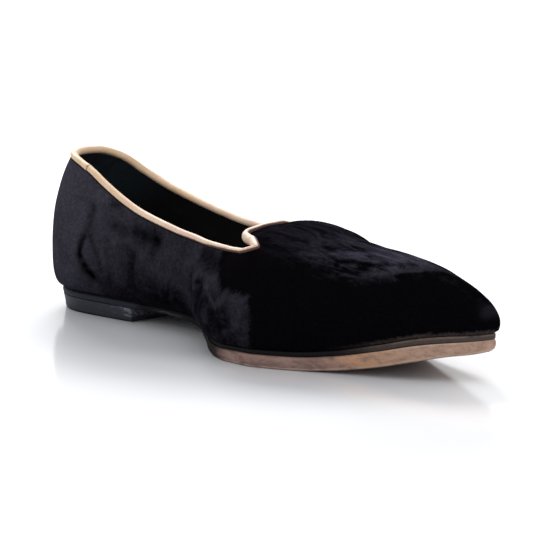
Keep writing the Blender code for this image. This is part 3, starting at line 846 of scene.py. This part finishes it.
def makeBinding(rim, columns, normal):
    side = rim.side
    lift = relief(columns[-1], side)
    out = normal[-1]
    edge = columns[-1] + out * lift[:, None]
    middle = edge - out * shoe["wall"] / 2
    along = np.roll(edge, -1, axis=0) - np.roll(edge, 1, axis=0)
    up = np.cross(along, out)
    up /= np.linalg.norm(up, axis=-1, keepdims=True)
    up *= np.sign(np.sum(up * (columns[-1] - columns[-2]), axis=-1, keepdims=True))
    centre = middle + up * (shoe["gap"] + binding["halfHeight"])
    # the lap: the strip from the back runs over the one from the side
    behind = binding["join"] - edge[:, 1]
    lap = np.where((side < 0) & (behind > 0), unit(1.0 - behind / binding["lapLength"]), 0.0)
    run = np.cumsum(np.linalg.norm(along, axis=-1)) / 2
    swell = sum(height * np.sin(run / length + phase) for height, length, phase in binding["waves"])
    tab = np.minimum(distanceTo(throatInner[throatFlank], edge[:, 0], edge[:, 1]),
                     distanceTo(throatOuter[throatFlank], edge[:, 0], edge[:, 1]))
    fuller = 1.0 + binding["tabFuller"] * np.exp(-(tab / binding["tabReach"]) ** 2)
    wide = binding["halfWidth"] * fuller + binding["lap"] * lap + swell
    high = binding["halfHeight"] * fuller + binding["lap"] * lap * binding["lapHigh"]
    loops, turns = [], []
    for k in range(binding["sides"]):
        angle = 2 * np.pi * (k + 0.5) / binding["sides"]
        square = binding["underneath"] if np.sin(angle) < 0 else 1.0
        loops.append(centre + out * (wide * np.sign(np.cos(angle)) * abs(np.cos(angle)) ** square)[:, None]
                     + up * (high * np.sin(angle))[:, None])
        turns.append(np.full(rim.count, np.degrees(np.arccos(np.clip(np.sin(angle), -1.0, 1.0)))))
    loops = np.stack(loops)
    addPiece("toplineBinding", loops.reshape(-1, 3), ringFaces(len(loops), rim.count), bindingFinish(),
             "topline_piping", 80.0, {"turn": np.stack(turns)})


sock = {
    "thick": 2.6,
    "side": 0.5,             # room to the lining
    # share of the tuck left outside, further setback, share of the thickness
    "edge": ((0.80, 0.0, 0.0), (0.48, 0.0, 0.45), (0.48, 0.25, 0.85), (0.48, 0.6, 1.0)),
    "dish": 0.5,             # depth of the foot's print
    "dishWidth": 30.0,       # a narrower stretch of the sock is pressed in less
    "dishSquare": 0.8,
    "across": 24,
    "tone": (0.008, 0.010, 0.012, 1.0),
    "worn": (0.022, 0.023, 0.025, 1.0),
}


def sockFinish():
    f = Finish("darkSock")
    grain = f.noise(0.8, 3.0, 0.65)
    patch = f.noise(22.0, 3.0, 0.6, 0.6)
    tread = f.near(f.s, 170.0, 60.0) + f.near(f.s, 30.0, 40.0)
    colour = f.mix(f.span(tread * patch, 0.2, 0.75) * 0.8, sock["tone"], sock["worn"])
    normal = f.bump(grain, 0.12, f.bump(patch, 0.5))
    return f.surface(colour, 0.6 - 0.12 * patch, 0.3, normal)


def makeSock(rim):
    loops = []
    for tuckLeft, setback, share in sock["edge"]:
        distance = -rim.tuck * tuckLeft - shoe["wall"] - sock["side"] - setback
        loops.append(rim.loop(distance, lambda s: seamHeight(s) + shoe["wall"] + shoe["gap"]
                              + sock["thick"] * share))
    points = np.concatenate(loops)
    count = rim.count
    faces = stackFaces(len(loops), count, closed=False)
    # the top is a grid between the paired points of the two sides, pressed in a little by the foot
    rings, top = len(loops), loops[-1]
    start, rows = len(points), []
    across = np.linspace(0.0, 1.0, sock["across"] + 1)
    for k in range(1, rim.half):
        a, b = top[k], top[count - k]
        row = a + (b - a) * across[:, None]
        width = abs(b[0] - a[0])
        footprint = np.sin(np.pi * across) ** sock["dishSquare"]
        row[:, 2] -= sock["dish"] * min(1.0, width / sock["dishWidth"]) * footprint
        rows.append(row[1:-1])
    points = np.concatenate([points] + rows)
    inner = sock["across"] - 1
    base = (rings - 1) * count

    def at(k, j):
        if k == 0:
            return base
        if k == rim.half:
            return base + rim.half
        if j == 0:
            return base + k
        if j == sock["across"]:
            return base + count - k
        return start + (k - 1) * inner + j - 1
    for k in range(rim.half):
        for j in range(sock["across"]):
            corners = [at(k, j), at(k + 1, j), at(k + 1, j + 1), at(k, j + 1)]
            faces.append(tuple(dict.fromkeys(corners)))
    addPiece("sock", points, faces, sockFinish(), "insole")


welt = {
    "width": 9.0,
    "setback": 0.9,
    "toeReach": 24.0,        # length of the toe over which the setback falls to its least share
    "toeShare": 0.2,
    # the outer edge from the top down: how far out, share of the thickness
    "edge": ((-0.5, 0.0), (-0.12, 0.08), (0.0, 0.25), (0.0, 0.75), (-0.12, 0.92), (-0.5, 1.0)),
    "seat": 0.26,            # it is pressed down onto the sole
    "tone": (0.0020, 0.0020, 0.0024, 1.0),
    "midTone": (0.0065, 0.0062, 0.0072, 1.0),
    "toeTone": (0.060, 0.046, 0.041, 1.0),
    "rub": (0.22, 0.16, 0.13, 1.0),
}


def weltFinish():
    f = Finish("darkWelt")
    rise = f.attribute("rise")
    patch = f.noise(9.0, 4.0, 0.6, 0.5)
    fibre = f.noise(0.7, 3.0, 0.7, stretch=(1.0, 1.0, 0.35))
    colour = f.mix(f.span(f.s + (patch - 0.5) * 20.0, 112.0, 140.0), welt["tone"], welt["midTone"])
    colour = f.mix(f.span(f.s + (patch - 0.5) * 24.0, 204.0, 240.0), colour, welt["toeTone"])
    rub = f.span(rise, 0.55, 1.0) * f.span(f.s, 205.0, 258.0) * f.span(patch, 0.3, 0.6)
    colour = f.mix(rub * 0.8, colour, welt["rub"])
    colour = f.mix(f.span(fibre, 0.45, 0.75) * 0.35, colour, grey(0.15), "MULTIPLY")
    normal = f.bump(fibre, 0.12, f.bump(patch, 0.3))
    return f.surface(colour, 0.62 + 0.2 * patch, 0.08, normal)


def makeWelt(rim):
    fromTip = np.clip((shoe["length"] - rim.s) / welt["toeReach"], welt["toeShare"], 1.0)
    out = rim.project - rim.tuck - welt["setback"] * fromTip
    loops, rises = [], []
    for step, share in welt["edge"] + ((-welt["width"], 1.0), (-welt["width"], 0.0)):
        loops.append(rim.loop(out + step, lambda s: seamHeight(s) - shoe["gap"]
                              - (seamShape("welt", s) + welt["seat"]) * share))
        rises.append(1.0 - share)
    values = {"rise": np.repeat(rises[::-1], rim.count)}
    addPiece("rand", np.concatenate(loops[::-1]), ringFaces(len(loops), rim.count), weltFinish(),
             "welt", values=values)


edgePaint = (0.0165, 0.0185, 0.027, 1.0)    # black paint on the heel and on the sole's edge above it
sole = {
    # the edge from the underside up: setback from its widest point, share of the thickness
    "edge": ((1.1, 0.0), (0.62, 0.05), (0.2, 0.2), (0.03, 0.42), (0.0, 0.6), (0.12, 0.84), (0.5, 1.0)),
    "tipFrom": 246.0,        # the lower corner is rounder at the tip of the toe
    "tipRound": 2.6,
    "tipShare": 0.5,         # share of the thickness that it takes in
    "channel": ((3.6, 0.0), (3.9, 0.32), (4.2, 0.32), (4.5, 0.0)),    # groove under it: setback, depth
    "underRise": -0.5,       # the finish's rise runs from 0 to 1 up the edge and is below 0 underneath
    "black": (0.0026, 0.0024, 0.0028, 1.0),
    "brown": (0.150, 0.094, 0.082, 1.0),
    "pink": (0.27, 0.175, 0.150, 1.0),
    "toe": (0.40, 0.270, 0.205, 1.0),
    "toeBrown": (0.25, 0.152, 0.110, 1.0),
    "orange": (0.44, 0.235, 0.125, 1.0),
    # dark flecks of the grain and scrapes, and painted shade along the edge
    "darkFleckAndShade": (0.075, 0.035, 0.026, 1.0),
    "paintedHighlight": (0.50, 0.37, 0.30, 1.0),
    "under": (0.30, 0.19, 0.145, 1.0),
}


def soleFinish():
    f = Finish("soleLeather")
    rise = f.attribute("rise")
    along = f.noise(5.0, 4.0, 0.62, 0.7, (1.0, 0.35, 1.3))
    fine = f.noise(1.3, 4.0, 0.7, 0.4, (1.0, 0.3, 1.6))
    grain = f.noise(0.45, 2.0, 0.6)
    patch = f.noise(24.0, 3.0, 0.55, 0.5)
    scrape = f.noise(2.2, 4.0, 0.7, 0.3, (1.0, 0.12, 1.0))
    edge = f.mix(f.span(along, 0.32, 0.66), sole["brown"], sole["pink"])
    front = f.mix(f.span(scrape, 0.25, 0.70), sole["toeBrown"], sole["toe"])
    edge = f.mix(f.span(f.s + (along - 0.5) * 20.0, 200.0, 240.0), edge, front)
    amber = f.near(f.s, 221.0, 24.0) * f.span(scrape + along * 0.7, 0.70, 1.0)
    edge = f.mix(amber * 0.8, edge, sole["orange"])
    edge = f.mix(f.span(fine, 0.58, 0.76) * 0.55, edge, sole["darkFleckAndShade"])
    # painted highlight along the lower corner of the edge, broken by the grain
    edge = f.mix(f.near(rise, 0.12, 0.12) * f.span(along, 0.30, 0.55) * 0.6, edge, sole["paintedHighlight"])
    # painted shade along the top of the edge under the welt, fading out towards the toe
    edge = f.mix(f.span(rise, 0.90, 1.0) * f.span(f.s, 235.0, 200.0) * 0.7, edge, sole["darkFleckAndShade"])
    # painted highlight along the top corner of the edge near the toe
    edge = f.mix(f.span(rise, 0.86, 0.98) * f.span(f.s, 215.0, 240.0) * 0.4, edge, sole["paintedHighlight"])
    # painted shade along the bottom of the edge where it meets the floor
    edge = f.mix(f.span(rise, 0.05, 0.0) * 0.8, edge, sole["darkFleckAndShade"])
    edge = f.mix(f.span(f.s + (along - 0.5) * 16.0, 168.0, 146.0), edge, sole["black"])
    # painted highlight along the rounded black edge at the waist
    waistHighlight = f.near(rise, 0.45, 0.30) * f.near(f.s, 90.0, 15.0) * f.span(fine, 0.35, 0.6)
    edge = f.mix(waistHighlight * 0.5, edge, grey(0.09, 1.0, 1.05))
    edge = f.mix(f.span(f.s, 74.0, 66.0), edge, edgePaint)
    under = f.mix(f.span(patch, 0.3, 0.7), sole["under"], sole["brown"])
    under = f.mix(f.span(scrape, 0.55, 0.7) * 0.6, under, sole["darkFleckAndShade"])
    under = f.mix(f.span(f.s, 150.0, 120.0) * 0.93, under, sole["black"])
    colour = f.mix(f.span(rise, -0.02, 0.03), under, edge)
    normal = f.bump(grain, 0.05, f.bump(fine * 0.6 + along * 0.4, 0.35))
    return f.surface(colour, 0.55 + 0.20 * along, 0.10, normal)


def makeSole(rim):
    out = rim.project - rim.tuck
    loops, rises = [], []
    for setback, depth in sole["channel"][::-1]:
        loops.append(rim.loop(out - setback, lambda s: soleShape("under", s) + depth))
        rises.append(sole["underRise"])
    tip = unit((rim.s - sole["tipFrom"]) / (shoe["length"] - sole["tipFrom"]))
    for setback, share in sole["edge"]:
        rounder = 1.0 + (sole["tipRound"] - 1.0) * tip * (share < sole["tipShare"])
        loops.append(rim.loop(out - setback * rounder,
                              lambda s: soleShape("under", s) + soleShape("thick", s) * share))
        rises.append(share)
    addPiece("leatherSole", np.concatenate(loops), stackFaces(len(loops), rim.count), soleFinish(),
             "outsole", values={"rise": np.repeat(rises, rim.count)})


heel = {
    "breast": 66.0,          # station of its front face
    "setback": 0.3,
    "taper": 0.9,
    "topPiece": 2.4,
    "seat": 0.04,            # the block sits tight under the sole and on its top piece
    # the sides from the ground up: share of the height, how far they are tucked in
    "stackSide": ((0.0, 0.05), (0.05, 0.0), (0.3, 0.0), (0.6, 0.0), (0.95, 0.0), (1.0, 0.03)),
    "topPieceSide": ((0.0, 0.8), (0.12, 0.35), (0.4, 0.04), (0.6, 0.0), (0.95, 0.0), (1.0, 0.04)),
    "raise": 1.9,            # lift of the top piece's back edge
    "raiseRun": 14.0,
    # scuffs, and the painted highlight at the breast corner
    "scuffAndHighlight": (0.16, 0.165, 0.20, 1.0),
    "rubber": (0.007, 0.007, 0.008, 1.0),
    "dust": (0.06, 0.058, 0.056, 1.0),
}


def heelFinish():
    f = Finish("heelPaint")
    layers = f.noise(0.9, stretch=(0.05, 0.05, 1.0))
    rub = f.noise(2.4, 4.0, 0.7, 0.8, (1.0, 0.4, 1.6))
    patch = f.noise(12.0, 3.0, 0.6, 0.5)
    # scuffs and a painted highlight at the corner of the side and the breast
    cornerScuffAndHighlight = f.near(f.s, 62.0, 11.0) * f.span(rub, 0.42, 0.62)
    colour = f.mix(f.span(patch, 0.35, 0.7) * 0.5, edgePaint, grey(0.035, 0.9, 1.2))
    colour = f.mix(cornerScuffAndHighlight * 0.8, colour, heel["scuffAndHighlight"])
    colour = f.mix(f.span(rub, 0.6, 0.72) * 0.35, colour, heel["scuffAndHighlight"])
    normal = f.bump(layers, 0.10, f.bump(rub, 0.16))
    return f.surface(colour, 0.50 + 0.22 * patch, 0.2, normal)


def rubberFinish():
    f = Finish("topPieceRubber")
    speck = f.noise(0.8, 3.0, 0.7)
    wear = f.noise(7.0, 4.0, 0.65, 0.6)
    back = f.span(f.s, 24.0, 6.0)
    colour = f.mix(f.span(wear + back * 0.3, 0.5, 0.8) * 0.6, heel["rubber"], heel["dust"])
    painted = f.span(f.z + (wear - 0.5) * 0.6, 0.7, 1.1)
    colour = f.mix(painted * 0.9, colour, edgePaint)
    normal = f.bump(speck, 0.1, f.bump(wear, 0.2))
    return f.surface(colour, 0.70 - 0.15 * wear, 0.2, normal)


def heelLoop(rim, setback, height):    # round the back, along both sides and straight across the breast
    steps = int(np.searchsorted(rim.s[:rim.half], heel["breast"]))
    keep = np.concatenate([np.arange(steps + 1), np.arange(rim.count - steps, rim.count)])
    loop = rim.loop(rim.project - rim.tuck - heel["setback"] - setback, lambda s: s * 0.0)[keep]
    loop[:, 1] = np.minimum(loop[:, 1], heel["breast"] - setback)
    loop[steps:steps + 2, 1] = heel["breast"] - setback
    loop[:, 2] = height(loop[:, 1])
    return loop


def makeHeel(rim):
    topPiece, seat, taper = heel["topPiece"], heel["seat"], heel["taper"]
    low = topPiece + seat
    loops = []
    for share, tuckIn in heel["stackSide"]:
        loops.append(heelLoop(rim, taper * (1.0 - share) + tuckIn,
                              lambda s: low + (soleShape("under", s) - seat - low) * share))
    addPiece("heelStack", np.concatenate(loops), stackFaces(len(loops), len(loops[0])), heelFinish(),
             "heel_block")

    def lift(s):
        return heel["raise"] * unit(1.0 - (s - s.min()) / heel["raiseRun"]) ** 2
    loops = []
    for share, tuckIn in heel["topPieceSide"]:
        loops.append(heelLoop(rim, taper + tuckIn, lambda s: lift(s) + (topPiece - lift(s)) * share))
    addPiece("topPiece", np.concatenate(loops), stackFaces(len(loops), len(loops[0])), rubberFinish(),
             "heel_top_piece")


stage = {
    "floorSize": 16.0,
    "shadeTone": (0.60, 0.612, 0.642, 1.0),
    "farTone": (0.91, 0.922, 0.948, 1.0),
    "shadeMiddle": (-28.0, 5.0),         # middle and half axes of the patch of painted shade under the shoe
    "shadeReach": (90.0, 140.0),
    "floorRoughness": 0.12,
    "skyStrength": 0.86,
}
lights = (
    # name, place in metres, aim, width, height, watts
    ("key", (0.71, 1.00, 0.86), (0.0, 0.0, 0.03), 0.6, 0.5, 23.0),
    ("overhead", (-0.15, -0.25, 1.35), (0.0, 0.0, 0.03), 1.5, 1.2, 4.0),
    ("window", (-1.1, 0.35, 0.75), (0.0, 0.02, 0.02), 0.9, 0.7, 2.5),
    ("front", (-0.3, -1.5, 0.45), (0.0, -0.05, 0.02), 1.1, 0.35, 1.5),
)
cameraSet = {
    "place": (-1.05525, -1.0947, 0.3052),
    "aim": (0.00715, -0.002, 0.028),
    "lens": 232.0,
    "sensor": 36.0,
}


def aimAt(thing, place, aim):
    thing.location = place
    thing.rotation_mode = "QUATERNION"
    thing.rotation_quaternion = (Vector(aim) - Vector(place)).to_track_quat("-Z", "Y")
    bpy.context.scene.collection.objects.link(thing)


def floorFinish():
    f = Finish("paleFloor")
    cloud = f.noise(90.0)
    (middleX, middleY), (reachX, reachY) = stage["shadeMiddle"], stage["shadeReach"]
    # painted shade: the floor is darker in an oval under and round the shoe
    out = (((f.x - middleX) / reachX) ** 2 + ((f.y - middleY) / reachY) ** 2) ** 0.5
    colour = f.mix(f.span(out + (cloud - 0.5) * 0.1, 0.5, 1.2), stage["shadeTone"], stage["farTone"])
    return f.surface(colour, stage["floorRoughness"] + 0.03 * cloud, 0.8)


def makeStage():
    half = stage["floorSize"] / 2
    mesh = bpy.data.meshes.new("floor")
    corners = [(-half, -half, 0), (half, -half, 0), (half, half, 0), (-half, half, 0)]
    mesh.from_pydata(corners, [], [(0, 1, 2, 3)])
    mesh.materials.append(floorFinish())
    floor = bpy.data.objects.new("floor", mesh)
    bpy.context.scene.collection.objects.link(floor)
    world = bpy.data.worlds.new("studio")
    world.use_nodes = True
    background = world.node_tree.nodes["Background"]
    background.inputs["Color"].default_value = (1.0, 1.0, 1.0, 1.0)
    background.inputs["Strength"].default_value = stage["skyStrength"]
    bpy.context.scene.world = world
    for name, place, aim, width, height, watts in lights:
        light = bpy.data.lights.new(name, "AREA")
        light.shape = "RECTANGLE"
        light.size, light.size_y, light.energy = width, height, watts
        aimAt(bpy.data.objects.new(name, light), place, aim)
    camera = bpy.data.cameras.new("camera")
    camera.lens, camera.sensor_width = cameraSet["lens"], cameraSet["sensor"]
    view = bpy.data.objects.new("camera", camera)
    aimAt(view, cameraSet["place"], cameraSet["aim"])
    bpy.context.scene.camera = view
    bpy.context.scene.view_settings.view_transform = "Standard"


makeStage()
print("stage ready")
fineRim = Rim(velvet["fine"])
columns, normal = upperGrid(fineRim)
makeVelvet(fineRim, columns, normal)
makeLining(fineRim, columns, normal)
makeBinding(fineRim, columns, normal)
makeSock(fineRim)
makeWelt(fineRim)
makeSole(fineRim)
makeHeel(fineRim)
